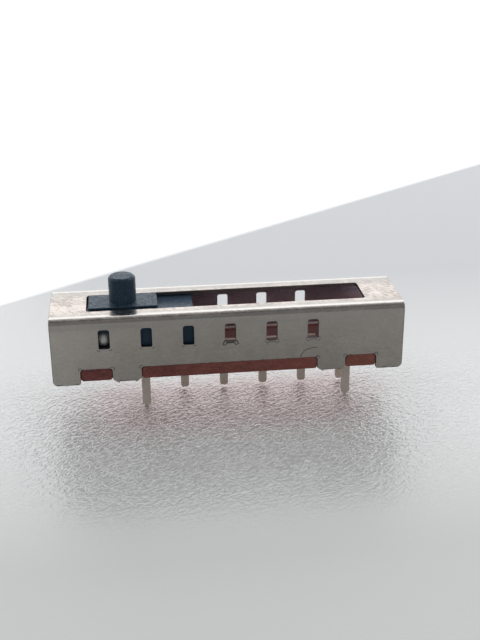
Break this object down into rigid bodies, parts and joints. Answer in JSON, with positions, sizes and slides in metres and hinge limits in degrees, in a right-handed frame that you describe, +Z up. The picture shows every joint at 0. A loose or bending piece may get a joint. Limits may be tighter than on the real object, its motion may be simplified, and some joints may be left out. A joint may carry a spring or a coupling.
{
  "type": "slide switch",
  "caption": "Slide switch for a circuit board: a folded metal channel cover over a phenolic base, with pins below and a round knob that slides along a slot between detent positions.",
  "frame": {"origin": "middle of the cover, in the plane of the circuit board that its feet stand on: the point that the terminals' places are given from", "axes": "+X the way the knob travels, +Y to the rear, away from the row of two pins, +Z up to the knob"},
  "size_m": [0.034, 0.0078, 0.0132],
  "materials": {
    "plated_steel": "satin tin plate with fine random brush marks",
    "phenolic": "red-brown laminate with faint paper fibres",
    "tinned_strip": "satin tin",
    "black_plastic": "fine grained blue-black moulding",
    "bronze": "bright rolled strip",
    "spring_steel": "drawn wire",
    "ball_steel": "polished"
  },
  "bodies": {
    "housing": {"cover": "plated_steel", "base_board": "phenolic", "throw_terminal_1": "tinned_strip", "throw_terminal_2": "tinned_strip", "throw_terminal_3": "tinned_strip", "throw_terminal_4": "tinned_strip", "throw_terminal_5": "tinned_strip", "throw_terminal_6": "tinned_strip", "common_terminal": "tinned_strip"},
    "slide": {"slider": "black_plastic", "moving_contact": "bronze", "detent_spring": "spring_steel"},
    "front_ball": {"detent_ball_front": "ball_steel"},
    "back_ball": {"detent_ball_back": "ball_steel"}
  },
  "joints": [
    {"name": "slider_travel", "type": "slide", "parent": "housing", "child": "slide", "axis": [1, 0, 0], "range_m": [0, 0.02]},
    {"name": "front_ball_press", "type": "slide", "parent": "slide", "child": "front_ball", "axis": [0, -1, 0], "range_m": [0, 0.00018], "stiffness_N_per_m": 300, "springref_m": 0.0002},
    {"name": "back_ball_press", "type": "slide", "parent": "slide", "child": "back_ball", "axis": [0, 1, 0], "range_m": [0, 0.00018], "stiffness_N_per_m": 300, "springref_m": 0.0002}
  ]
}
